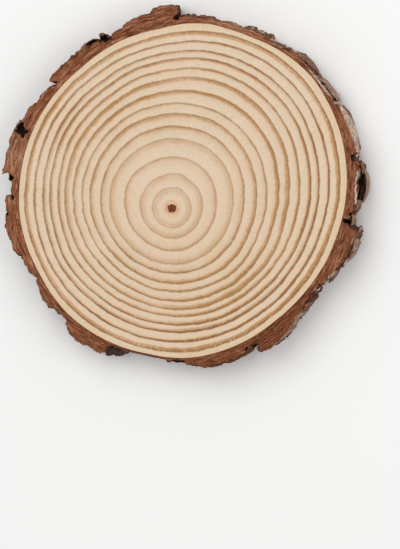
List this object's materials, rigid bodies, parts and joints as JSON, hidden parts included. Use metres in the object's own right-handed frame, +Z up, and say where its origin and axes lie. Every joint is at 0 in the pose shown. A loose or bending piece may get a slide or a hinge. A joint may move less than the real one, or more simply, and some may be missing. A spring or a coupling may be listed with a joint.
{
  "type": "wood slice",
  "caption": "Round slice sawn from a young softwood log: a disc of wood with growth rings and an off-centre pith, in its ring of rough scaly bark.",
  "frame": {"origin": "middle of the bounding box of the underside, on the sawn face that the slice lies on", "axes": "+Z up through the slice, along the log's grain, out of the sawn face that shows; +X to the right and +Y away from a person looking down on that face with the tall bark flake at the top"},
  "size_m": [0.1548, 0.1515, 0.015],
  "materials": {
    "wood": "sanded bare softwood end grain, cream with ochre rings",
    "bark": "rough dry bark, reddish brown where sawn, grey-brown scales outside"
  },
  "bodies": {
    "root": {"wood": "wood", "bark": "bark"}
  },
  "joints": []
}
